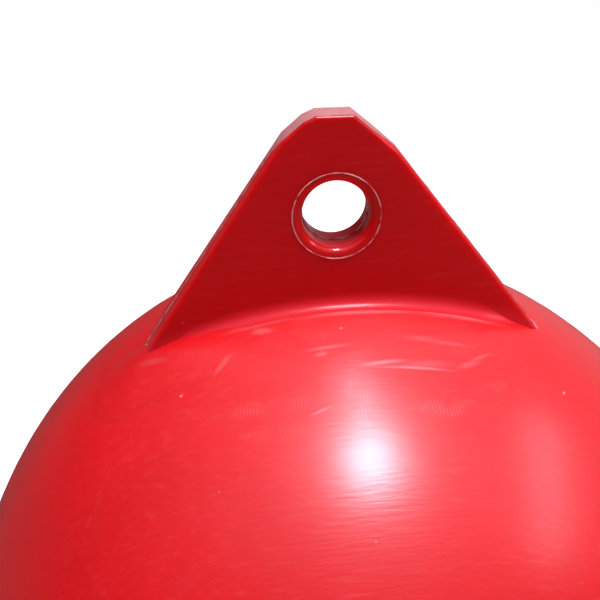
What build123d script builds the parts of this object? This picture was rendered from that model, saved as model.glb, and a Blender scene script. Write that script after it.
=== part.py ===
from build123d import *
from math import cos, pi, radians, sin
import os

os.makedirs("parts", exist_ok=True)

# Moulded PVC ball buoy with a rope lug at each pole, millimetres, +Z up.
# The origin is on the waterline of the unloaded buoy, under the ball's centre.
# The lug plates lie in the XZ plane and their eyes run along Y.

# Driving dimensions
ball_radius = 200.0
ball_wall = 5.0
centre_height = 124.0          # ball's centre above the waterline

lug_apex_height = 295.1        # where the straight sides would meet, above the centre
lug_side_slope = 0.7553        # sideways run of a lug side for each millimetre of height
lug_root_depth = 150.0         # the plate is drawn down to here and trimmed by the ball
lug_edge_round = 1.5           # softened arris all round the plate
root_sweep = 5.5               # sweep from the plate's faces into the ball
root_end_round = 10.0          # the sweep dies out round an end of this radius at each foot
root_inset = 2.0               # how far that end lies inside the plate's side
root_top = 216.0               # the root's core ends inside the plate at this height
# The tip was trimmed by knife, so it is a run of short flats: sideways place and height of each corner
lug_tip_corners = [
    (-19.4, 269.2), (-11.2, 275.5), (-6.2, 277.5), (7.7, 277.1), (18.1, 268.0), (24.4, 262.2),
]

eye_height = 238.6             # eye's centre above the ball's centre
eye_radius = 13.6
bush_radius = 17.6
mouth_round = 3.7              # rounded mouth of each half-bush
half_thickness_at_eye = 9.6    # half of the plate's thickness at the eye's centre
face_draft = 0.048             # how much each face leans in for each millimetre of height

valve_lean = 40.0              # valve axis leans back from the pole, degrees
valve_body_radius = 17.0
valve_body_length = 16.0
valve_dish_radius = 13.0
valve_dish_depth = 4.0
washer_radius = 10.5
washer_thickness = 1.2
plug_head_radius = 9.5
plug_head_height = 2.4
plug_shank_radius = 5.0
plug_shank_length = 11.0
slot_width = 1.8
slot_depth = 1.3


def half_thickness(height):
    """Half of the plate's thickness at a height above the ball's centre."""
    return half_thickness_at_eye + (eye_height - height) * face_draft


def tapered_slab(reach):
    """A wide slab whose two faces have the plate's draft."""
    bottom, top = half_thickness(lug_root_depth), half_thickness(lug_apex_height)
    section = Polyline(
        (-bottom, lug_root_depth),
        (-top, lug_apex_height),
        (top, lug_apex_height),
        (bottom, lug_root_depth),
        close=True,
    )
    return extrude(make_face(Plane.YZ * section), amount=reach, both=True)


def side_reach(height):
    """Sideways distance of the plate's straight side at a height above the ball's centre."""
    return (lug_apex_height - height) * lug_side_slope


def lug_outline():
    """The trimmed triangle seen from the front, as a face in the XZ plane."""
    corners = [
        (-side_reach(lug_root_depth), lug_root_depth),
        *lug_tip_corners,
        (side_reach(lug_root_depth), lug_root_depth),
    ]
    return Plane.XZ * make_face(Polyline(*corners, close=True))


def on_ball(edge):
    """True where both ends and the middle of an edge lie on the ball's surface."""
    return all(abs((edge @ place).length - ball_radius) < 0.01 for place in (0, 0.5, 1))


def is_arris(edge):
    """True for an edge between the plate's outline and one of its two faces."""
    return abs((edge @ 0.5).Y) > 5 and abs((edge @ 0).Y) > 5 and (edge @ 0.5).Z > lug_root_depth + 1


def make_root():
    """Round-ended core inside the plate's lower part, swept out into the ball on every side."""
    low, high = (side_reach(height) - root_inset for height in (lug_root_depth, root_top))
    outline = Polyline(
        (-low, lug_root_depth), (-high, root_top), (high, root_top), (low, lug_root_depth), close=True
    )
    core = extrude(Plane.XZ * make_face(outline), amount=ball_radius / 2, both=True) & tapered_slab(ball_radius)
    ends = core.edges().filter_by(is_arris).filter_by(lambda edge: (edge @ 0.5).Z < root_top - 1)
    joined = fillet(ends, root_end_round) + Sphere(ball_radius)
    foot_line = joined.edges().filter_by(on_ball).filter_by(lambda edge: edge.center().Z > 0)
    return fillet(foot_line, root_sweep)


def make_lug():
    """Upper lug about the ball's centre: plate, root sweep and the bore for its bushes."""
    reach = ball_radius
    prism = extrude(lug_outline(), amount=reach / 2, both=True)
    plate = prism & tapered_slab(reach)
    plate = fillet(plate.edges().filter_by(is_arris), lug_edge_round)
    lug = plate + make_root() - Sphere(ball_radius)
    bore = Pos(0, 0, eye_height) * Rot(90, 0, 0) * Cylinder(bush_radius, reach)
    return lug - bore


def make_half_bush():
    """Front half of the eye's lining; the back half is the same piece turned round."""
    reach = ball_radius
    axis_place = Pos(0, 0, eye_height) * Rot(90, 0, 0)
    tube = axis_place * (Cylinder(bush_radius, reach) - Cylinder(eye_radius, reach))
    half = Pos(0, -reach / 2, eye_height) * Box(reach, reach, reach)
    bush = tube & tapered_slab(reach) & half
    between = pi * (eye_radius + bush_radius)
    mouth = bush.edges().filter_by(
        lambda edge: edge.center().Y < -half_thickness_at_eye / 2 and edge.length < between
    )
    return fillet(mouth, mouth_round)


def valve_place():
    """Where the valve's axis leaves the ball, with Z pointing outwards."""
    lean = radians(valve_lean)
    outward = Vector(0, sin(lean), cos(lean))
    return Plane(origin=outward * ball_radius, x_dir=(1, 0, 0), z_dir=outward)


def make_valve():
    """Valve body let into the shell, its washer and its slotted screw plug."""
    seat = valve_place()
    body = Cylinder(valve_body_radius, valve_body_length, align=(Align.CENTER, Align.CENTER, Align.MAX))
    dish_top = Pos(0, 0, -valve_dish_depth) * Cylinder(
        valve_dish_radius, valve_dish_depth * 2, align=(Align.CENTER, Align.CENTER, Align.MIN)
    )
    shank_hole = Cylinder(plug_shank_radius, valve_body_length * 3)
    body = body - dish_top - shank_hole
    body = (seat * body) & Sphere(ball_radius)

    floor = -valve_dish_depth
    washer = Pos(0, 0, floor) * (
        Cylinder(washer_radius, washer_thickness, align=(Align.CENTER, Align.CENTER, Align.MIN))
        - Cylinder(plug_shank_radius, washer_thickness * 3)
    )
    head_base = floor + washer_thickness
    head = Pos(0, 0, head_base) * Cylinder(
        plug_head_radius, plug_head_height, align=(Align.CENTER, Align.CENTER, Align.MIN)
    )
    head = chamfer(head.edges().group_by(Axis.Z)[-1], 0.5)
    shank = Pos(0, 0, head_base) * Cylinder(
        plug_shank_radius, plug_shank_length, align=(Align.CENTER, Align.CENTER, Align.MAX)
    )
    slot = Pos(0, 0, head_base + plug_head_height) * Box(2 * plug_head_radius + 2, slot_width, 2 * slot_depth)
    plug = head + shank - slot
    return body, seat * washer, seat * plug


def make_shell():
    """Hollow ball with the hole that the valve body fills."""
    shell = Sphere(ball_radius) - Sphere(ball_radius - ball_wall)
    hole = valve_place() * Cylinder(valve_body_radius, 4 * ball_wall)
    return shell - hole


def main():
    """Build each piece about the ball's centre, lift it to its height and write it."""
    lift = Pos(0, 0, centre_height)
    valve_body, valve_washer, valve_plug = make_valve()
    lug = make_lug()
    front_bush = make_half_bush()
    back_bush = Rot(0, 0, 180) * front_bush
    upper = {"lug": lug, "eye_bush_front": front_bush, "eye_bush_back": back_bush}
    pieces = {"ball_shell": make_shell()}
    for name, piece in upper.items():
        pieces[f"upper_{name}"] = piece
        pieces[f"lower_{name}"] = mirror(piece, about=Plane.XY)
    pieces |= {"valve_body": valve_body, "valve_washer": valve_washer, "valve_plug": valve_plug}
    for name, piece in pieces.items():
        placed = lift * piece
        export_step(placed, f"parts/{name}.step")
        print(name, round(placed.volume), placed.bounding_box())


main()
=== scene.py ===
"""Looks of a moulded vinyl ball buoy: its ball, rope lugs, lined eyes and air valve.

Everything is in metres, +Z up. The origin is on the waterline of the unloaded buoy, on the axis through
both poles. The lug plates lie in the XZ plane, and the valve is on the +Y side.
"""

import logging
import math
import random
from dataclasses import dataclass, field
from enum import Enum

import bpy
from mathutils import Matrix, Vector


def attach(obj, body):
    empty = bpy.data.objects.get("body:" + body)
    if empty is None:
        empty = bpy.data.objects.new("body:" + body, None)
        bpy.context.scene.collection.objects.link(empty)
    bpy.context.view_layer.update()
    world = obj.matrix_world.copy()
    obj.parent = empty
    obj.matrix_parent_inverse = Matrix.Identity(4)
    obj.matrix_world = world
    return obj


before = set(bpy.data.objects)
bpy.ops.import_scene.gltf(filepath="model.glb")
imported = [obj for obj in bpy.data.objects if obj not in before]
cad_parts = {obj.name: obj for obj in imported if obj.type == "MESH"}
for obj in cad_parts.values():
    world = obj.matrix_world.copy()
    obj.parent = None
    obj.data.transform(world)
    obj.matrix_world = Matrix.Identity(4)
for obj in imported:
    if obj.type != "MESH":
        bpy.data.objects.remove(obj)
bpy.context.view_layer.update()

LOG = logging.getLogger("ball_buoy")
MM = 0.001
CENTRE_HEIGHT = 124 * MM          # the ball's centre above the waterline
SHARP_EDGE = math.radians(40)     # edges over this stay sharp on a smoothed piece
MERGE = 0.01 * MM                 # points closer than this become one

# Settings that many shader nodes share: an eased range, and a mix of colours with its sockets
EASED = {"interpolation_type": "SMOOTHSTEP"}
COLOURS = {"data_type": "RGBA"}
FIRST, SECOND, MIXED = 6, 7, 2
OCTAVE_FALL = 0.55                # strength of each finer octave in the vinyl's noises
WAVE_PERIOD = 2 * math.pi / 20    # a wave pattern's period at a scale of one


class Shade(Enum):
    """Colours of the buoy and its studio, as sRGB hex values."""

    VINYL = "#E00B13"
    VINYL_DEEP = "#D80A11"
    # BLOOM is the pale of the vinyl's bloom, dust, scuffs and torn curl, and of the painted sheen along the
    # lugs' root.
    BLOOM = "#F4A8AC"
    TRIMMED = "#B87773"
    SCAR = "#A63C3A"
    WITNESS = "#DE9A92"
    # LUG and LUG_DEEP are the ball's vinyl painted darker, a painted shade on the lugs' upright plates and
    # the eyes' linings.
    LUG = "#D0080E"
    LUG_DEEP = "#C8080D"
    # ROOT is a painted glow on a lug's root, for the red light that the ball throws up onto it.
    ROOT = "#DE2630"
    NYLON = "#17171A"
    NYLON_WORN = "#3A3A3C"
    RUBBER = "#101011"
    STUDIO = "#F2F2F0"


class Lay(Enum):
    """The two ways a lug can point, by its end of the buoy."""

    UP = "upper"
    DOWN = "lower"


class Face(Enum):
    """The two faces of a lug's plate, by their side of the parting line."""

    FRONT = -1
    BACK = 1


@dataclass(frozen=True)
class Ramp:
    """A rise from bottom to top, while what it reads goes from low to high."""

    low: float
    high: float
    bottom: float = 0.0
    top: float = 1.0

    def sockets(self) -> dict[str, float]:
        """The rise, by the names of the inputs that take it."""
        return {"From Min": self.low, "From Max": self.high, "To Min": self.bottom, "To Max": self.top}


def channel_to_linear(value: float) -> float:
    """One sRGB channel, 0 to 1, as linear light, by the sRGB curve."""
    return value / 12.92 if value <= 0.04045 else ((value + 0.055) / 1.055) ** 2.4


def to_linear(shade: Shade) -> tuple[float, float, float, float]:
    """Turn a named shade into the linear colour that a shader socket takes.

    Args:
        shade: The named sRGB colour.

    Returns:
        Red, green, blue and an alpha of one.
    """
    digits = shade.value.lstrip("#")
    red, green, blue = (int(digits[start:start + 2], 16) / 255 for start in (0, 2, 4))
    return (*map(channel_to_linear, (red, green, blue)), 1.0)


def add_node(tree: bpy.types.NodeTree, kind: str, settings: dict | None = None,
             links: dict | None = None, values: dict | None = None) -> bpy.types.Node:
    """Add one shader node with its settings, its links and its plain socket values.

    Args:
        tree: The material's node tree.
        kind: The node's type.
        settings: Attributes to set on the node.
        links: Input name or index to the output socket that feeds it.
        values: Input name or index to a constant.

    Returns:
        The new node.
    """
    node = tree.nodes.new(kind)
    for name, value in (settings or {}).items():
        setattr(node, name, value)
    for name, value in (values or {}).items():
        node.inputs[name].default_value = value
    for name, output in (links or {}).items():
        tree.links.new(output, node.inputs[name])
    return node


def new_tree(name: str) -> tuple[bpy.types.Material, bpy.types.NodeTree]:
    """Make a material with an empty node tree.

    Args:
        name: The material's name.

    Returns:
        The material and its tree.
    """
    material = bpy.data.materials.new(name)
    material.use_nodes = True
    material.node_tree.nodes.clear()
    return material, material.node_tree


def smooth(value: float, low: float, high: float) -> float:
    """Ease from 0 at low to 1 at high."""
    share = min(1.0, max(0.0, (value - low) / (high - low)))
    return share * share * (3 - 2 * share)


def deselect() -> None:
    """Leave edit mode and deselect every object."""
    if bpy.context.object and bpy.context.object.mode != "OBJECT":
        bpy.ops.object.mode_set(mode="OBJECT")
    bpy.ops.object.select_all(action="DESELECT")


def settle(piece: bpy.types.Object, material: bpy.types.Material) -> None:
    """Close a modelled piece, put its place into its mesh and hang it on the buoy.

    Args:
        piece: The piece, active and selected.
        material: Its material.
    """
    bpy.ops.object.mode_set(mode="EDIT")
    bpy.ops.mesh.select_all(action="SELECT")
    bpy.ops.mesh.remove_doubles(threshold=MERGE)
    bpy.ops.mesh.normals_make_consistent(inside=False)
    bpy.ops.object.mode_set(mode="OBJECT")
    bpy.ops.object.transform_apply(location=True, rotation=True, scale=True)
    bpy.ops.object.shade_smooth_by_angle(angle=SHARP_EDGE)
    piece.data.materials.clear()
    piece.data.materials.append(material)
    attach(piece, "root")
    LOG.info("%s: %s faces", piece.name, len(piece.data.polygons))


def dress_node(name: str, material: bpy.types.Material) -> None:
    """Give one of the frame's own solids its material.

    Args:
        name: The node's name.
        material: Its material.
    """
    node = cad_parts[name]
    node.data.materials.clear()
    node.data.materials.append(material)
    LOG.info("%s: %s faces", name, len(node.data.polygons))


@dataclass(frozen=True)
class Smear:
    """One soft pale mark on a skin: its centre, its three radii and its turn about Z in degrees."""

    centre: tuple[float, float, float]
    radii: tuple[float, float, float]
    turn: float
    strength: float


@dataclass(frozen=True)
class Chatter:
    """A row of fine ticks, as a scuffing tool leaves them: its middle, half length and width, and turn."""

    centre: tuple[float, float, float]
    length: float
    width: float
    turn: float
    strength: float


@dataclass(frozen=True)
class MouldedVinyl:
    """Plasticised PVC, moulded thick: a wet gloss over a haze, and red light creeps through thin edges.

    IOR of PVC is 1.53. The moulded skin's gloss has a roughness from 0.14 in an eye's lining to 0.29 on the
    ball, and the fine scratches of handling spread a wider haze, of 0.35 to 0.5, round each highlight.
    """

    name: str
    colour: Shade = Shade.VINYL
    deep: Shade = Shade.VINYL_DEEP
    haze: float = 0.50                          # roughness under the gloss
    haze_swing: tuple[float, float] = (0.06, 0.08)
    lustre: float = 0.16                        # specular level of the haze
    skin: float = 0.29                          # roughness of the gloss
    coat: float = 1.0                           # weight of the gloss
    ior: float = 1.53
    glow: float = 0.35                          # share of the light that goes through the vinyl
    glow_depth: float = 5.0 * MM
    glow_reach: tuple[float, float, float] = (1.0, 0.06, 0.04)   # red goes far, green and blue hardly
    mottle_size: float = 55.0 * MM              # clouds of the pigment
    mottle: Ramp = Ramp(0.35, 0.65)
    touch_size: float = 22.0 * MM               # patches that hands leave duller
    touch: tuple[float, float] = (0.3, 0.7)
    ripple_size: float = 7.0 * MM               # orange peel of the moulded skin
    ripple_height: float = 0.02 * MM
    scuff_size: float = 1.35 * MM               # scuffs along X, coarser than real ones, so that they show
    scuff_height: float = 0.05 * MM
    scuff_turn: float = 0.12
    scuff_draw: float = 0.12
    bloom: float = 0.012
    bloom_size: float = 33.0 * MM
    bloom_edge: tuple[float, float] = (0.45, 0.85)
    speck_gap: float = 15.0 * MM
    speck_radius: float = 0.45 * MM             # the coarsest dust, as finer grains would not show
    speck_strength: float = 0.7
    streaks: float = 0.05
    streak_size: float = 1.6 * MM
    streak_edge: tuple[float, float] = (0.50, 0.80)
    streak_turn: float = 0.10
    streak_draw: float = 0.10
    tick_gap: float = 1.25 * MM                 # from tick to tick in a scuffed row
    chatter_depth: float = 30.0 * MM
    chatter_edge: Ramp = Ramp(0.0, 0.6)
    patch_size: float = 7.0 * MM                # breaks in the rows of ticks
    patch_edge: tuple[float, float] = (0.35, 0.62)
    root: Ramp | None = None                    # share of the painted root glow, by distance from the ball's centre
    # Pale marks: rubbed smears, and on the ball the painted sheen along the lugs' root.
    smears_and_sheen: tuple[Smear, ...] = ()
    chatters: tuple[Chatter, ...] = ()

    def material(self) -> bpy.types.Material:
        """Make the vinyl's material.

        Returns:
            The material, with its patterns on Object coordinates.
        """
        material, tree = new_tree(self.name)
        place = add_node(tree, "ShaderNodeTexCoord").outputs["Object"]
        clouds = add_node(tree, "ShaderNodeTexNoise", links={"Vector": place},
                          values={"Scale": 1 / self.mottle_size, "Detail": 4.0, "Roughness": OCTAVE_FALL})
        share = add_node(tree, "ShaderNodeMapRange", EASED, {"Value": clouds.outputs["Fac"]},
                         self.mottle.sockets()).outputs[0]
        tone = add_node(tree, "ShaderNodeMix", COLOURS, {0: share},
                        {FIRST: to_linear(self.deep), SECOND: to_linear(self.colour)}).outputs[MIXED]
        tone = add_node(tree, "ShaderNodeMix", COLOURS, {0: self.bloom_mask(tree, place), FIRST: tone},
                        {SECOND: to_linear(Shade.BLOOM)}).outputs[MIXED]
        peel = self.ripple(tree, place)
        links = {"Base Color": tone, "Roughness": self.gloss(tree, place), "Normal": peel,
                 "Coat Normal": peel}
        if self.root is not None:
            links |= self.root_links(tree, place, tone)
        shader = add_node(tree, "ShaderNodeBsdfPrincipled", links=links, values={
            "IOR": self.ior, "Specular IOR Level": self.lustre, "Coat Weight": self.coat,
            "Coat Roughness": self.skin, "Coat IOR": self.ior, "Subsurface Weight": self.glow,
            "Subsurface Radius": self.glow_reach, "Subsurface Scale": self.glow_depth})
        add_node(tree, "ShaderNodeOutputMaterial", links={"Surface": shader.outputs[0]})
        return material

    def root_links(self, tree: bpy.types.NodeTree, place: bpy.types.NodeSocket,
                   tone: bpy.types.NodeSocket) -> dict[str, bpy.types.NodeSocket]:
        """Paint a glow on a lug's root for the red light that the ball throws on it, and make it opaque, as
        the ball is behind it.

        Args:
            tree: The material's node tree.
            place: Object coordinates.
            tone: The vinyl's colour away from the root.

        Returns:
            The shader inputs that change with the distance from the ball's centre.
        """
        far = add_node(tree, "ShaderNodeVectorMath", {"operation": "DISTANCE"}, {0: place},
                       {1: (0.0, 0.0, CENTRE_HEIGHT)}).outputs["Value"]
        share = add_node(tree, "ShaderNodeMapRange", EASED, {"Value": far}, self.root.sockets()).outputs[0]
        glow = add_node(tree, "ShaderNodeMapRange", {}, {"Value": share},
                        Ramp(0.0, 1.0, self.glow, 0.0).sockets()).outputs[0]
        lit = add_node(tree, "ShaderNodeMix", COLOURS, {0: share, FIRST: tone},
                       {SECOND: to_linear(Shade.ROOT)}).outputs[MIXED]
        return {"Base Color": lit, "Subsurface Weight": glow}

    def bloom_mask(self, tree: bpy.types.NodeTree, place: bpy.types.NodeSocket) -> bpy.types.NodeSocket:
        """Where the skin is paler: a thin bloom, specks of dust, faint streaks, rubbed smears, painted sheen
        and chatter.

        Args:
            tree: The material's node tree.
            place: Object coordinates.

        Returns:
            The mask, 0 for clean vinyl.
        """
        clouds = add_node(tree, "ShaderNodeTexNoise", links={"Vector": place},
                          values={"Scale": 1 / self.bloom_size, "Detail": 6.0, "Roughness": OCTAVE_FALL})
        bloom = add_node(tree, "ShaderNodeMapRange", EASED, {"Value": clouds.outputs["Fac"]},
                         Ramp(*self.bloom_edge, top=self.bloom).sockets())
        cells = add_node(tree, "ShaderNodeTexVoronoi", links={"Vector": place},
                         values={"Scale": 1 / self.speck_gap, "Randomness": 1.0})
        dust = add_node(tree, "ShaderNodeMapRange", {}, {"Value": cells.outputs["Distance"]},
                        Ramp(0.0, self.speck_radius / self.speck_gap, self.speck_strength, 0.0).sockets())
        drawn = add_node(tree, "ShaderNodeMapping", {}, {"Vector": place},
                         {"Rotation": (0.0, 0.0, self.streak_turn), "Scale": (self.streak_draw, 1.0, 1.0)})
        lines = add_node(tree, "ShaderNodeTexNoise", links={"Vector": drawn.outputs[0]},
                         values={"Scale": 1 / self.streak_size, "Detail": 4.0, "Roughness": OCTAVE_FALL})
        streaks = add_node(tree, "ShaderNodeMapRange", EASED, {"Value": lines.outputs["Fac"]},
                           Ramp(*self.streak_edge, top=self.streaks).sockets())
        total = bloom.outputs[0]
        marks = [dust.outputs[0], streaks.outputs[0]]
        marks += [self.smear_mask(tree, place, smear) for smear in self.smears_and_sheen]
        marks += [self.chatter_mask(tree, place, chatter) for chatter in self.chatters]
        for mark in marks:
            total = add_node(tree, "ShaderNodeMath", {"operation": "ADD", "use_clamp": True},
                             {0: total, 1: mark}).outputs[0]
        return total

    def smear_mask(self, tree: bpy.types.NodeTree, place: bpy.types.NodeSocket,
                   smear: Smear) -> bpy.types.NodeSocket:
        """Lay one smear, a soft blob that fades to nothing at its radii.

        Args:
            tree: The material's node tree.
            place: Object coordinates.
            smear: The mark.

        Returns:
            Its mask.
        """
        local = add_node(tree, "ShaderNodeMapping", {"vector_type": "TEXTURE"}, {"Vector": place},
                         {"Location": smear.centre, "Scale": smear.radii,
                          "Rotation": (0.0, 0.0, math.radians(smear.turn))})
        blob = add_node(tree, "ShaderNodeTexGradient", {"gradient_type": "SPHERICAL"},
                        {"Vector": local.outputs[0]})
        return add_node(tree, "ShaderNodeMapRange", EASED, {"Value": blob.outputs["Fac"]},
                        Ramp(0.0, 1.0, top=smear.strength).sockets()).outputs[0]

    def chatter_mask(self, tree: bpy.types.NodeTree, place: bpy.types.NodeSocket,
                     chatter: Chatter) -> bpy.types.NodeSocket:
        """Lay one row of fine ticks, strongest along its middle and broken up by patches.

        Args:
            tree: The material's node tree.
            place: Object coordinates.
            chatter: The row.

        Returns:
            Its mask.
        """
        local = add_node(tree, "ShaderNodeMapping", {"vector_type": "TEXTURE"}, {"Vector": place},
                         {"Location": chatter.centre,
                          "Rotation": (0.0, 0.0, math.radians(chatter.turn))}).outputs[0]
        ticks = add_node(tree, "ShaderNodeTexWave", {"bands_direction": "X"}, {"Vector": local},
                         {"Scale": WAVE_PERIOD / self.tick_gap, "Distortion": 2.5, "Detail": 2.0,
                          "Detail Scale": 0.25})
        sized = add_node(tree, "ShaderNodeMapping", {}, {"Vector": local},
                         {"Scale": (1 / chatter.length, 1 / chatter.width, 1 / self.chatter_depth)})
        blob = add_node(tree, "ShaderNodeTexGradient", {"gradient_type": "SPHERICAL"},
                        {"Vector": sized.outputs[0]})
        band = add_node(tree, "ShaderNodeMapRange", EASED, {"Value": blob.outputs["Fac"]},
                        self.chatter_edge.sockets())
        patches = add_node(tree, "ShaderNodeTexNoise", links={"Vector": place},
                           values={"Scale": 1 / self.patch_size, "Detail": 2.0, "Roughness": OCTAVE_FALL})
        patch = add_node(tree, "ShaderNodeMapRange", EASED, {"Value": patches.outputs["Fac"]},
                         Ramp(*self.patch_edge, top=chatter.strength).sockets())
        row = add_node(tree, "ShaderNodeMath", {"operation": "MULTIPLY"},
                       {0: ticks.outputs["Fac"], 1: band.outputs[0]})
        return add_node(tree, "ShaderNodeMath", {"operation": "MULTIPLY"},
                        {0: row.outputs[0], 1: patch.outputs[0]}).outputs[0]

    def gloss(self, tree: bpy.types.NodeTree, place: bpy.types.NodeSocket) -> bpy.types.NodeSocket:
        """Make the haze a little uneven over the size of a hand's touch.

        Args:
            tree: The material's node tree.
            place: Object coordinates.

        Returns:
            The roughness.
        """
        touches = add_node(tree, "ShaderNodeTexNoise", links={"Vector": place},
                           values={"Scale": 1 / self.touch_size, "Detail": 3.0, "Roughness": OCTAVE_FALL})
        swing = Ramp(*self.touch, self.haze - self.haze_swing[0], self.haze + self.haze_swing[1])
        return add_node(tree, "ShaderNodeMapRange", {}, {"Value": touches.outputs["Fac"]},
                        swing.sockets()).outputs[0]

    def ripple(self, tree: bpy.types.NodeTree, place: bpy.types.NodeSocket) -> bpy.types.NodeSocket:
        """Raise the moulded skin's faint orange peel, and the fine scuffs of ropes and hands over it.

        Args:
            tree: The material's node tree.
            place: Object coordinates.

        Returns:
            The skin's normal.
        """
        peel = add_node(tree, "ShaderNodeTexNoise", links={"Vector": place},
                        values={"Scale": 1 / self.ripple_size, "Detail": 3.0, "Roughness": OCTAVE_FALL})
        relief = add_node(tree, "ShaderNodeBump", links={"Height": peel.outputs["Fac"]},
                          values={"Strength": 1.0, "Distance": self.ripple_height})
        drawn = add_node(tree, "ShaderNodeMapping", {}, {"Vector": place},
                         {"Rotation": (0.0, 0.0, self.scuff_turn), "Scale": (self.scuff_draw, 1.0, 1.0)})
        scuffs = add_node(tree, "ShaderNodeTexNoise", links={"Vector": drawn.outputs[0]},
                          values={"Scale": 1 / self.scuff_size, "Detail": 3.0, "Roughness": OCTAVE_FALL})
        return add_node(tree, "ShaderNodeBump",
                        links={"Height": scuffs.outputs["Fac"], "Normal": relief.outputs[0]},
                        values={"Strength": 1.0, "Distance": self.scuff_height}).outputs[0]


@dataclass(frozen=True)
class TrimmedVinyl:
    """PVC cut by knife along the parting line: stress-whitened in patches, and matt.

    Towards the tip it turns paler, partly stress whitening and partly a painted reflection of the bright
    backdrop on its upward faces. IOR 1.53, and a torn surface of roughness 0.6.
    """

    name: str
    pale: Shade = Shade.TRIMMED
    scar: Shade = Shade.SCAR
    roughness: float = 0.6
    ior: float = 1.53
    tear_length: float = 2.5 * MM
    tear_height: float = 0.05 * MM
    patchy: tuple[float, float] = (0.42, 0.68)
    whitening_and_sheen: tuple[float, float] = (256 * MM, 272 * MM)   # heights about the ball's centre where the tip turns pale, partly painted reflection
    whitest_and_sheen: float = 0.85

    def material(self) -> bpy.types.Material:
        """Make the trimmed edge's material.

        Returns:
            The material, streaked at the scale of the knife's steps.
        """
        material, tree = new_tree(self.name)
        place = add_node(tree, "ShaderNodeTexCoord").outputs["Object"]
        tears = add_node(tree, "ShaderNodeTexNoise", links={"Vector": place},
                         values={"Scale": 1 / self.tear_length, "Detail": 4.0}).outputs["Fac"]
        torn = add_node(tree, "ShaderNodeMapRange", EASED, {"Value": tears}, Ramp(*self.patchy).sockets())
        height = add_node(tree, "ShaderNodeSeparateXYZ", links={"Vector": place}).outputs["Z"]
        height = add_node(tree, "ShaderNodeMath", {"operation": "SUBTRACT"}, {0: height}, {1: CENTRE_HEIGHT})
        height = add_node(tree, "ShaderNodeMath", {"operation": "ABSOLUTE"}, {0: height.outputs[0]})
        # Paler towards the tip: stress whitening, and partly a painted reflection on the upward faces.
        white = add_node(tree, "ShaderNodeMapRange", EASED, {"Value": height.outputs[0]},
                         Ramp(*self.whitening_and_sheen, top=self.whitest_and_sheen).sockets())
        share = add_node(tree, "ShaderNodeMath", {"operation": "ADD", "use_clamp": True},
                         {0: torn.outputs[0], 1: white.outputs[0]}).outputs[0]
        tone = add_node(tree, "ShaderNodeMix", COLOURS, {0: share},
                        {FIRST: to_linear(self.scar), SECOND: to_linear(self.pale)}).outputs[MIXED]
        relief = add_node(tree, "ShaderNodeBump", links={"Height": tears},
                          values={"Strength": 0.5, "Distance": self.tear_height}).outputs[0]
        shader = add_node(tree, "ShaderNodeBsdfPrincipled", links={"Base Color": tone, "Normal": relief},
                          values={"Roughness": self.roughness, "IOR": self.ior})
        add_node(tree, "ShaderNodeOutputMaterial", links={"Surface": shader.outputs[0]})
        return material


@dataclass(frozen=True)
class MouldedNylon:
    """Black nylon, injection moulded: IOR 1.53, a fine satin of roughness 0.4, greyed where it is handled."""

    name: str
    colour: Shade = Shade.NYLON
    worn: Shade = Shade.NYLON_WORN
    roughness: float = 0.42
    ior: float = 1.53
    grain_size: float = 0.8 * MM          # coarser than the mould's real grain, so that it shows
    grain_height: float = 0.03 * MM
    wear_size: float = 9.0 * MM
    wear: Ramp = Ramp(0.45, 0.8, top=0.6)

    def material(self) -> bpy.types.Material:
        """Make the nylon's material.

        Returns:
            The material, with a fine moulded grain and cloudy wear.
        """
        material, tree = new_tree(self.name)
        place = add_node(tree, "ShaderNodeTexCoord").outputs["Object"]
        clouds = add_node(tree, "ShaderNodeTexNoise", links={"Vector": place},
                          values={"Scale": 1 / self.wear_size, "Detail": 5.0}).outputs["Fac"]
        share = add_node(tree, "ShaderNodeMapRange", {}, {"Value": clouds}, self.wear.sockets()).outputs[0]
        tone = add_node(tree, "ShaderNodeMix", COLOURS, {0: share},
                        {FIRST: to_linear(self.colour), SECOND: to_linear(self.worn)}).outputs[MIXED]
        grain = add_node(tree, "ShaderNodeTexNoise", links={"Vector": place},
                         values={"Scale": 1 / self.grain_size, "Detail": 2.0}).outputs["Fac"]
        relief = add_node(tree, "ShaderNodeBump", links={"Height": grain},
                          values={"Strength": 0.5, "Distance": self.grain_height}).outputs[0]
        shader = add_node(tree, "ShaderNodeBsdfPrincipled", links={"Base Color": tone, "Normal": relief},
                          values={"Roughness": self.roughness, "IOR": self.ior})
        add_node(tree, "ShaderNodeOutputMaterial", links={"Surface": shader.outputs[0]})
        return material


@dataclass
class Buoy:
    """Sizes that the ball and the lugs share."""

    ball_radius: float = 200 * MM
    centre: Vector = field(default_factory=lambda: Vector((0.0, 0.0, CENTRE_HEIGHT)))


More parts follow.
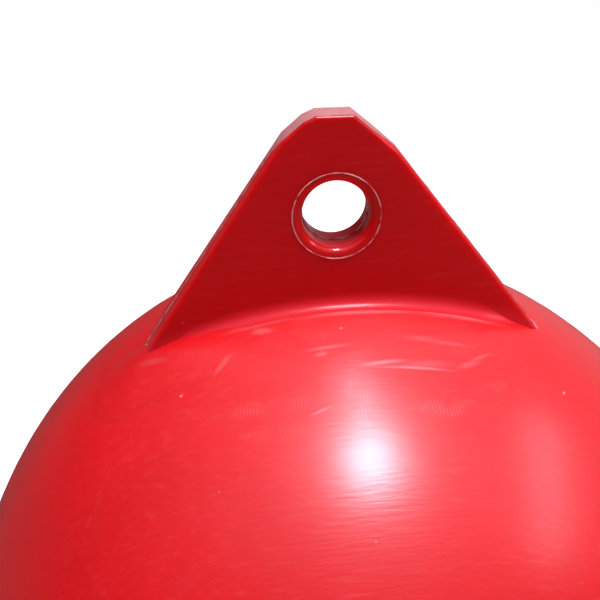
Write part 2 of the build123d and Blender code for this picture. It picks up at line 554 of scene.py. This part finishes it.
@dataclass
class Ball(Buoy):
    """The blown ball: its skin keeps the CAD shell's shape and carries the wear of handling, and a painted
    sheen along the lugs' root.
    """

    def smears_and_sheen(self) -> tuple[Smear, ...]:
        """Place the rubbed marks, the specks of dust and the painted sheen.

        Returns:
            The marks, from rows of centre and radii in millimetres, turn in degrees and strength.
        """
        marks = (
            ((12.0, -46.8, 194.2), (13.0, 1.5, 5.0), 6.0, 0.45),
            ((24.0, -49.4, 192.1), (24.0, 1.0, 6.0), -2.0, 0.40),
            ((28.0, -47.5, 192.0), (17.0, 3.0, 6.0), 4.0, 0.14),
            ((45.5, -46.0, 188.8), (9.0, 2.0, 6.0), 25.0, 0.16),
            ((52.0, -41.0, 188.9), (8.0, 1.2, 6.0), 30.0, 0.16),
            ((40.0, -35.5, 192.5), (15.0, 1.6, 6.0), -4.0, 0.12),
            ((-8.0, -37.3, 196.3), (14.0, 1.5, 5.0), 4.0, 0.22),
            ((-10.5, -40.5, 195.6), (4.0, 2.0, 4.0), 10.0, 0.22),
            ((-33.2, -21.6, 196.0), (7.0, 3.2, 6.0), -10.0, 0.22),
            ((-49.0, -35.0, 190.6), (9.0, 2.2, 8.0), 55.0, 0.14),
            ((-13.0, -65.3, 188.6), (6.0, 0.8, 4.0), 18.0, 0.35),
            ((29.7, -33.8, 194.9), (11.0, 2.4, 6.0), 0.0, 0.12),
            ((-80.0, -20.0, 182.0), (12.0, 3.0, 9.0), -20.0, 0.10),
            ((-65.6, -44.3, 183.7), (1.1, 0.8, 1.0), 0.0, 0.9),
            ((-1.2, -27.1, 198.1), (1.2, 0.9, 1.0), 0.0, 0.8),
            ((83.0, -50.0, 174.9), (1.6, 0.8, 1.5), 50.0, 0.7),
            # The last five are painted sheen: a broad pale haze over the front of the top, and painted
            # highlights along the lugs' root.
            ((5.0, -29.0, 196.0), (88.0, 27.0, 32.0), 0.0, 0.075),
            ((45.0, -16.0, 193.0), (40.0, 5.0, 12.0), 0.0, 0.14),
            ((8.0, -17.6, 199.0), (34.0, 2.0, 6.0), 0.0, 0.30),
            ((-34.0, -17.3, 196.3), (24.0, 1.8, 10.0), 1.5, 0.15),
            ((52.0, -17.5, 192.3), (28.0, 1.8, 12.0), -1.5, 0.17),
        )
        return tuple(
            Smear(tuple(Vector(place) * MM + self.centre), tuple(size * MM for size in radii), turn, strength)
            for place, radii, turn, strength in marks
        )

    def chatters(self) -> tuple[Chatter, ...]:
        """Place the rows of fine ticks round the top of the ball.

        Returns:
            The rows, from centre, half length and width in millimetres, turn in degrees and strength.
        """
        rows = (
            ((-32.5, -59.8, 187.8), 24.0, 4.5, -3.7, 0.10),
            ((33.7, -66.0, 185.7), 19.0, 4.5, 3.0, 0.13),
            ((-29.7, -70.9, 184.6), 17.0, 4.0, -7.0, 0.08),
            ((1.0, -61.5, 190.3), 7.5, 13.0, 0.0, 0.16),
            ((55.0, -56.0, 184.0), 16.0, 5.0, 14.0, 0.07),
        )
        return tuple(
            Chatter(tuple(Vector(place) * MM + self.centre), length * MM, width * MM, turn, strength)
            for place, length, width, turn, strength in rows
        )

    def dress(self) -> bpy.types.Material:
        """Give the shell its skin, and return it."""
        skin = MouldedVinyl("ball_vinyl", smears_and_sheen=self.smears_and_sheen(), chatters=self.chatters()).material()
        dress_node("ball_shell", skin)
        return skin


@dataclass(frozen=True)
class Burr:
    """A crumb or curl that the knife left: its middle about the ball's centre, its half sizes and its lean.

    The last half size points upwards before the burr leans, which it does about Y, in radians.
    """

    name: str
    place: tuple[float, float, float]
    radii: tuple[float, float, float]
    lean: float


@dataclass
class Lug(Buoy):
    """One rope lug with its lined eye: the CAD solids, and what moulding and trimming left on them.

    Heights and places are about the ball's centre, and the tip's corners are in millimetres.
    """

    lay: Lay = Lay.UP
    apex_height: float = 295.1 * MM             # where the plate's straight sides would meet
    side_slope: float = 0.7553
    foot_height: float = 180.3 * MM
    tip_corners: tuple[tuple[float, float], ...] = (
        (-19.4, 269.2), (-11.2, 275.5), (-6.2, 277.5), (7.7, 277.1), (18.1, 268.0), (24.4, 262.2),
    )
    half_thickness: float = 9.6 * MM
    face_lean: float = math.atan(0.048)
    flash_width: float = 3.6 * MM
    flash_height: float = 0.7 * MM
    flash_shift: float = 2.4 * MM               # how far behind the plate's middle it runs on the sides
    tip_width: float = 13.4 * MM
    tip_rise: tuple[float, float] = (262.0 * MM, 270.0 * MM)
    knife_step: float = 4.0 * MM
    uneven_height: tuple[float, float] = (0.75, 1.25)
    uneven_side: tuple[float, float] = (0.85, 1.15)
    uneven_tip: tuple[float, float] = (0.93, 1.05)
    eye_height: float = 238.6 * MM
    eye_radius: float = 13.6 * MM
    seam_bead: float = 0.5 * MM
    seam_shift: float = -0.5 * MM
    seam_uneven: float = 0.15 * MM
    bush_radius: float = 17.6 * MM
    ring_bead: float = 0.26 * MM
    ring_uneven: float = 0.12 * MM
    swell_x: tuple[float, float] = (-112 * MM, -30 * MM)
    swell_y: tuple[float, float] = (-46 * MM, 5 * MM)
    swell_left: tuple[float, float] = (-110 * MM, -84 * MM)
    swell_right: tuple[float, float] = (-74 * MM, -32 * MM)
    swell_front: tuple[float, float] = (-44 * MM, -14 * MM)
    swell_back: tuple[float, float] = (-10 * MM, 4 * MM)
    swell_rise: float = 2.0 * MM
    swell_sink: float = 0.12 * MM               # how far its rim lies under the ball's skin
    swell_skirt: float = 4.0 * MM
    crumb: Burr = Burr("foot_crumb", (-85.7 * MM, -3.0 * MM, 180.8 * MM), (0.7 * MM, 0.8 * MM, 1.6 * MM), 0.6)
    curl: Burr = Burr("foot_curl", (86.0 * MM, -10.6 * MM, 181.5 * MM), (0.5 * MM, 0.5 * MM, 4.2 * MM), 0.6)
    burr_uneven: float = 0.25

    def tip_share(self, point: Vector) -> float:
        """How far a point lies up the trimmed tip, 0 on the straight sides and 1 on the top flats."""
        low, high = self.tip_rise
        return min(1.0, max(0.0, (point.z - low) / (high - low)))

    def edge_path(self) -> list[Vector]:
        """Lay points a knife's step apart along the lug's edge, from foot to foot.

        Returns:
            The points about the ball's centre, near the plane of the parting line.
        """
        foot = (self.apex_height - self.foot_height) * self.side_slope
        corners = [(-foot, self.foot_height), *((x * MM, z * MM) for x, z in self.tip_corners),
                   (foot, self.foot_height)]
        points = [Vector((corners[0][0], 0.0, corners[0][1]))]
        for (x1, z1), (x2, z2) in zip(corners, corners[1:]):
            steps = max(1, round(math.hypot(x2 - x1, z2 - z1) / self.knife_step))
            for step in range(1, steps + 1):
                share = step / steps
                points.append(Vector((x1 + (x2 - x1) * share, 0.0, z1 + (z2 - z1) * share)))
        for point in points:
            point.y = self.flash_shift * (1 - self.tip_share(point))
        return points

    def flash(self) -> bpy.types.Object:
        """Sweep the trimmed flash round the lug's edge.

        Returns:
            The flash, a closed bead half sunk in the edge.
        """
        dice = random.Random(7)
        path = self.edge_path()
        headings = [math.atan2(after.x - before.x, after.z - before.z)
                    for before, after in zip(path, path[1:])]
        deselect()
        start = self.centre + path[0]
        bpy.ops.mesh.primitive_circle_add(vertices=10, radius=0.5, fill_type="NGON", location=start)
        piece = bpy.context.object
        piece.name = f"{self.lay.value}_lug_flash"
        bpy.ops.object.mode_set(mode="EDIT")
        bpy.ops.mesh.select_all(action="SELECT")
        bpy.ops.transform.resize(value=(self.flash_height, self.flash_width, 1), center_override=start)
        bpy.ops.transform.rotate(value=-headings[0], orient_axis="Y", center_override=start)
        turned = headings[0]
        grown = Vector((1.0, 1.0, 1.0))
        for index, point in enumerate(path[1:], 1):
            here = self.centre + point
            after = headings[index] if index < len(headings) else headings[-1]
            wanted = (headings[index - 1] + after) / 2
            tip = self.tip_share(point)
            high = dice.uniform(*self.uneven_height)
            side = dice.uniform(*self.uneven_side)
            top = dice.uniform(*self.uneven_tip)
            broad = side * (1 - tip) + top * tip * self.tip_width / self.flash_width
            size = Vector((high, broad, high))
            bpy.ops.mesh.extrude_region_move(TRANSFORM_OT_translate={"value": point - path[index - 1]})
            bpy.ops.transform.rotate(value=turned - wanted, orient_axis="Y", center_override=here)
            change = tuple(new / old for new, old in zip(size, grown))
            bpy.ops.transform.resize(value=change, center_override=here)
            turned, grown = wanted, size
        return piece

    def ring(self, face: Face) -> bpy.types.Object:
        """Lay the thin witness ring where the bush meets the plate, on one face.

        Args:
            face: The plate's face.

        Returns:
            The ring, an uneven bead half sunk in the face.
        """
        deselect()
        bpy.ops.mesh.primitive_torus_add(
            major_segments=96, minor_segments=8, major_radius=self.bush_radius, minor_radius=self.ring_bead,
            location=self.centre + Vector((0, face.value * self.half_thickness, self.eye_height)),
            rotation=(math.pi / 2 + face.value * self.face_lean, 0, 0))
        piece = bpy.context.object
        piece.name = f"{self.lay.value}_eye_witness_{face.name.lower()}"
        bpy.ops.object.mode_set(mode="EDIT")
        bpy.ops.mesh.select_all(action="SELECT")
        bpy.ops.transform.vertex_random(offset=self.ring_uneven, seed=5 + face.value)
        return piece

    def seam(self) -> bpy.types.Object:
        """Lay the thin ridge that the two halves of the mould leave round the middle of the eye's bore.

        Returns:
            The ridge, half sunk in the bore's wall.
        """
        deselect()
        bpy.ops.mesh.primitive_torus_add(
            major_segments=72, minor_segments=8, major_radius=self.eye_radius, minor_radius=self.seam_bead,
            location=self.centre + Vector((0, self.seam_shift, self.eye_height)),
            rotation=(math.pi / 2, 0, 0))
        piece = bpy.context.object
        piece.name = f"{self.lay.value}_eye_seam"
        bpy.ops.object.mode_set(mode="EDIT")
        bpy.ops.mesh.select_all(action="SELECT")
        bpy.ops.transform.vertex_random(offset=self.seam_uneven, seed=3)
        return piece

    def swell_height(self, x: float, y: float) -> float:
        """How far the swell stands over the ball, a little less than nothing at its rim.

        Args:
            x: The place seen from above, across the plate.
            y: The same, from front to back.

        Returns:
            The height over the ball's skin.
        """
        along = smooth(x, *self.swell_left) * (1 - smooth(x, *self.swell_right))
        out = smooth(y, *self.swell_front) * (1 - smooth(y, *self.swell_back))
        return self.swell_rise * along * out - self.swell_sink

    def swell(self) -> bpy.types.Object:
        """Raise the low swell of vinyl where the plate's left foot runs out into the ball.

        Returns:
            The swell, which follows the ball and runs out under its skin on every side.
        """
        deselect()
        (x1, x2), (y1, y2) = self.swell_x, self.swell_y
        bpy.ops.mesh.primitive_grid_add(
            x_subdivisions=70, y_subdivisions=44, size=1.0,
            location=((x1 + x2) / 2, (y1 + y2) / 2, self.centre.z + self.ball_radius))
        piece = bpy.context.object
        piece.name = f"{self.lay.value}_lug_foot_swell"
        bpy.ops.object.mode_set(mode="EDIT")
        bpy.ops.mesh.select_all(action="SELECT")
        bpy.ops.transform.resize(value=(x2 - x1, y2 - y1, 1), center_override=piece.location)
        bpy.ops.object.mode_set(mode="OBJECT")
        bpy.ops.object.transform_apply(location=True, rotation=True, scale=True)
        for vertex in piece.data.vertices:
            x, y = vertex.co.x, vertex.co.y
            radius = self.ball_radius + self.swell_height(x, y)
            vertex.co.z = self.centre.z + math.sqrt(radius**2 - x**2 - y**2)
        bpy.ops.object.mode_set(mode="EDIT")
        bpy.ops.mesh.select_all(action="SELECT")
        bpy.ops.mesh.extrude_region_move(TRANSFORM_OT_translate={"value": (0, 0, -self.swell_skirt)})
        return piece

    def burr(self, burr: Burr) -> bpy.types.Object:
        """Shape a torn crumb or curl of vinyl that the knife left at a foot.

        Args:
            burr: Its name after the lug's, its place, its half sizes and its lean.

        Returns:
            The burr.
        """
        deselect()
        middle = self.centre + Vector(burr.place)
        tall = burr.radii[2]
        bpy.ops.mesh.primitive_ico_sphere_add(subdivisions=3, radius=tall, location=middle)
        piece = bpy.context.object
        piece.name = f"{self.lay.value}_{burr.name}"
        bpy.ops.object.mode_set(mode="EDIT")
        bpy.ops.mesh.select_all(action="SELECT")
        bpy.ops.transform.vertex_random(offset=self.burr_uneven * tall, seed=11)
        bpy.ops.transform.resize(value=tuple(radius / tall for radius in burr.radii), center_override=middle)
        bpy.ops.transform.rotate(value=burr.lean, orient_axis="Y", center_override=middle)
        return piece

    def fit(self, piece: bpy.types.Object, slot: str, material: bpy.types.Material) -> None:
        """Turn a piece over where the lug points down, and hang it on the buoy.

        Args:
            piece: The piece as the upper lug has it, in edit mode.
            slot: The record's material slot; not used.
            material: Its material.
        """
        if self.lay is Lay.DOWN:
            bpy.ops.mesh.select_all(action="SELECT")
            bpy.ops.transform.mirror(constraint_axis=(False, False, True), center_override=self.centre)
        settle(piece, material)

    def dress(self, vinyl: bpy.types.Material, skin: bpy.types.Material, bush: bpy.types.Material,
              cut: bpy.types.Material, torn: bpy.types.Material, witness: bpy.types.Material) -> None:
        """Dress the lug's solids and build its own small pieces.

        Args:
            vinyl: The plate's material.
            skin: The ball's material, which runs on over the swell at the foot.
            bush: The bushes' material.
            cut: The trimmed edge's material.
            torn: The material of the torn curl at the right foot.
            witness: The material of the eye's rings and seam.
        """
        end = self.lay.value
        dress_node(f"{end}_lug", vinyl)
        dress_node(f"{end}_eye_bush_front", bush)
        dress_node(f"{end}_eye_bush_back", bush)
        self.fit(self.flash(), "lug_pvc", cut)
        for face in Face:
            self.fit(self.ring(face), "bush_pvc", witness)
        self.fit(self.seam(), "bush_pvc", witness)
        self.fit(self.swell(), "ball_pvc", skin)
        self.fit(self.burr(self.crumb), "lug_pvc", cut)
        self.fit(self.burr(self.curl), "lug_pvc", torn)


@dataclass
class Valve:
    """The air valve: a nylon body, a slotted nylon plug rubbed smoother by use, and a matt rubber washer."""

    plug_roughness: float = 0.36
    washer_roughness: float = 0.7

    def dress(self) -> None:
        """Give the valve's nodes their nylon and rubber."""
        dress_node("valve_body", MouldedNylon("valve_nylon").material())
        dress_node("valve_plug", MouldedNylon("plug_nylon", roughness=self.plug_roughness).material())
        dress_node("valve_washer", MouldedNylon("washer_rubber", colour=Shade.RUBBER, worn=Shade.NYLON,
                                                roughness=self.washer_roughness).material())


@dataclass(frozen=True)
class Lamp:
    """One soft lamp: where it hangs about the ball's centre, its width and length, its watts and its turn.

    The length of a lamp overhead lies along +Y, and the turn is about the lamp's own axis, in degrees.
    """

    name: str
    place: tuple[float, float, float]
    size: tuple[float, float]
    power: float
    turn: float = 0.0


@dataclass
class Studio:
    """Pale floor at the waterline, a soft sky, lamps and the camera."""

    aim: Vector = field(default_factory=lambda: Vector((0.0, 0.0, CENTRE_HEIGHT)))
    tint: tuple[float, float, float] = (1.0, 0.93, 1.08)   # of the lamps and the sky
    lamps: tuple[Lamp, ...] = (
        Lamp("overhead_strip", (0.18, 0.12, 1.50), (0.15, 0.80), 5.6, turn=7.0),
        Lamp("overhead_bulb", (0.165, -0.20, 1.50), (0.22, 0.34), 13.6),
        Lamp("side_panel", (1.17, -0.15, 0.93), (0.22, 0.9), 2.6),
    )
    floor_reach: float = 40.0
    floor_lift: float = 0.62                    # brings the lit floor up to white for the camera
    floor_side: Ramp = Ramp(-0.1, 1.2, 0.08, 0.32)
    floor_ahead: Ramp = Ramp(-0.4, 0.1, 0.2, 1.0)
    sky: Ramp = Ramp(-0.15, 1.0, 0.2, 0.97)
    sky_power: float = 4.0
    sky_side: Ramp = Ramp(-0.1, 0.8, 0.0, 0.28)
    sky_ahead: Ramp = Ramp(-0.6, 0.4, 0.12, 1.0)
    sensor_width: float = 36.0                  # millimetres
    focal_pixels: float = 606.96
    frame_pixels: float = 600.0
    nearest: float = 0.01
    camera_place: tuple[float, float, float] = (-0.02164, -0.23203, 0.45372)
    yaw: float = 0.0229
    pitch: float = 0.5196
    roll: float = -0.0642

    def build(self) -> None:
        """Make the floor, the sky, the lamps and the camera."""
        deselect()
        bpy.ops.mesh.primitive_plane_add(size=self.floor_reach)
        floor = bpy.context.object
        floor.name = "studio_floor"
        floor.data.materials.append(self.floor_material())
        self.world()
        for lamp in self.lamps:
            self.hang(lamp)
        self.camera()

    def floor_material(self) -> bpy.types.Material:
        """Paint the floor: white to the camera apart from the shadow, dim where the front mirrors it.

        Returns:
            The floor's material.
        """
        material, tree = new_tree("studio_paint")
        rays = add_node(tree, "ShaderNodeLightPath")
        paint = add_node(tree, "ShaderNodeBsdfDiffuse", values={"Color": to_linear(Shade.STUDIO)})
        lift = add_node(tree, "ShaderNodeEmission", values={"Strength": self.floor_lift})
        both = add_node(tree, "ShaderNodeAddShader", links={0: paint.outputs[0], 1: lift.outputs[0]})
        place = add_node(tree, "ShaderNodeTexCoord").outputs["Object"]
        axes = add_node(tree, "ShaderNodeSeparateXYZ", links={"Vector": place})
        side = add_node(tree, "ShaderNodeMapRange", EASED, {"Value": axes.outputs["X"]},
                        self.floor_side.sockets())
        ahead = add_node(tree, "ShaderNodeMapRange", EASED, {"Value": axes.outputs["Y"]},
                         self.floor_ahead.sockets())
        level = add_node(tree, "ShaderNodeMath", {"operation": "MULTIPLY"},
                         {0: side.outputs[0], 1: ahead.outputs[0]})
        mirrored = add_node(tree, "ShaderNodeEmission", links={"Strength": level.outputs[0]})
        seen = add_node(tree, "ShaderNodeMixShader", links={0: rays.outputs["Is Camera Ray"],
                                                            1: paint.outputs[0], 2: both.outputs[0]})
        every = add_node(tree, "ShaderNodeMixShader", links={0: rays.outputs["Is Glossy Ray"],
                                                             1: seen.outputs[0], 2: mirrored.outputs[0]})
        add_node(tree, "ShaderNodeOutputMaterial", links={"Surface": every.outputs[0]})
        return material

    def world(self) -> None:
        """White to the camera; to the object a soft sky, bright behind and overhead, dim in front."""
        world = bpy.data.worlds.new("studio_air")
        bpy.context.scene.world = world
        world.use_nodes = True
        tree = world.node_tree
        tree.nodes.clear()
        rays = add_node(tree, "ShaderNodeLightPath")
        way = add_node(tree, "ShaderNodeTexCoord").outputs["Generated"]
        axes = add_node(tree, "ShaderNodeSeparateXYZ", links={"Vector": way})
        up = add_node(tree, "ShaderNodeMapRange", {}, {"Value": axes.outputs["Z"]}, self.sky.sockets())
        sky = add_node(tree, "ShaderNodeMath", {"operation": "POWER"}, {0: up.outputs[0]},
                       {1: self.sky_power})
        side = add_node(tree, "ShaderNodeMapRange", EASED, {"Value": axes.outputs["X"]},
                        self.sky_side.sockets())
        glow = add_node(tree, "ShaderNodeMath", {"operation": "ADD"}, {0: sky.outputs[0], 1: side.outputs[0]})
        back = add_node(tree, "ShaderNodeMath", {"operation": "ADD"},
                        {0: axes.outputs["Y"], 1: axes.outputs["Z"]})
        ahead = add_node(tree, "ShaderNodeMapRange", EASED, {"Value": back.outputs[0]},
                         self.sky_ahead.sockets())
        glow = add_node(tree, "ShaderNodeMath", {"operation": "MULTIPLY"},
                        {0: glow.outputs[0], 1: ahead.outputs[0]})
        strength = add_node(tree, "ShaderNodeMix", {"data_type": "FLOAT"},
                            {0: rays.outputs["Is Camera Ray"], 2: glow.outputs[0]}, {3: 1.0}).outputs[0]
        colour = add_node(tree, "ShaderNodeMix", COLOURS, {0: rays.outputs["Is Camera Ray"]},
                          {FIRST: (*self.tint, 1.0), SECOND: (1.0, 1.0, 1.0, 1.0)}).outputs[MIXED]
        air = add_node(tree, "ShaderNodeBackground", links={"Strength": strength, "Color": colour})
        add_node(tree, "ShaderNodeOutputWorld", links={"Surface": air.outputs[0]})

    def hang(self, lamp: Lamp) -> None:
        """Hang one soft lamp that faces the ball's centre.

        Args:
            lamp: Its name, place, size, power and turn.
        """
        data = bpy.data.lights.new(lamp.name, "AREA")
        data.shape = "RECTANGLE"
        data.size, data.size_y = lamp.size
        data.energy = lamp.power
        data.color = self.tint
        light = bpy.data.objects.new(lamp.name, data)
        bpy.context.scene.collection.objects.link(light)
        outward = Vector(lamp.place).normalized()
        across = Vector((0, 1, 0)).cross(outward).normalized()
        along = outward.cross(across)
        facing = Matrix((across, along, outward)).transposed().to_4x4()
        light.matrix_world = facing @ Matrix.Rotation(math.radians(lamp.turn), 4, "Z")
        light.location = self.aim + Vector(lamp.place)

    def camera(self) -> None:
        """Stand the camera where the photograph was taken from, just above the lug."""
        data = bpy.data.cameras.new("camera")
        data.sensor_width = self.sensor_width
        data.lens = self.sensor_width * self.focal_pixels / self.frame_pixels
        data.clip_start = self.nearest
        camera = bpy.data.objects.new("camera", data)
        bpy.context.scene.collection.objects.link(camera)
        ahead = Vector((math.sin(self.yaw) * math.cos(self.pitch), math.cos(self.yaw) * math.cos(self.pitch),
                        -math.sin(self.pitch)))
        level = ahead.cross(Vector((0, 0, 1))).normalized()
        over = level.cross(ahead)
        right = level * math.cos(self.roll) + over * math.sin(self.roll)
        above = over * math.cos(self.roll) - level * math.sin(self.roll)
        camera.matrix_world = Matrix((right, above, -ahead)).transposed().to_4x4()
        camera.location = self.camera_place
        bpy.context.scene.camera = camera


def main() -> None:
    """Build the buoy's looks and report each piece."""
    logging.basicConfig(level=logging.INFO)
    bpy.context.scene.view_settings.view_transform = "Standard"
    skin = Ball().dress()
    # The lugs are painted a deeper red than the blown ball, a painted shade for their upright plates, with a
    # thinner gloss and less dust.
    vinyl = MouldedVinyl("lug_vinyl", colour=Shade.LUG, deep=Shade.LUG_DEEP, lustre=0.03, skin=0.26,
                         coat=0.45, glow=0.6, glow_depth=8 * MM, bloom=0.004, streaks=0.03,
                         # root: the painted glow of the ball's red light on the lug's root
                         root=Ramp(200.5 * MM, 207 * MM, 1.0, 0.0)).material()
    # The eye's lining keeps the polish of the mould, in the lugs' red darkened as painted shade.
    bush = MouldedVinyl("bush_vinyl", colour=Shade.LUG, deep=Shade.LUG_DEEP, haze=0.35, skin=0.14, lustre=0.1,
                        bloom=0.004, streaks=0.03).material()
    cut = TrimmedVinyl("trimmed_vinyl").material()
    torn = TrimmedVinyl("torn_vinyl", pale=Shade.BLOOM, scar=Shade.BLOOM).material()
    witness = TrimmedVinyl("witness_vinyl", pale=Shade.WITNESS, scar=Shade.VINYL_DEEP, patchy=(0.36, 0.6),
                           tear_length=5.0 * MM, whitest_and_sheen=0.0).material()
    for lay in Lay:
        Lug(lay=lay).dress(vinyl, skin, bush, cut, torn, witness)
    Valve().dress()
    Studio().build()


if __name__ == "__main__":
    main()
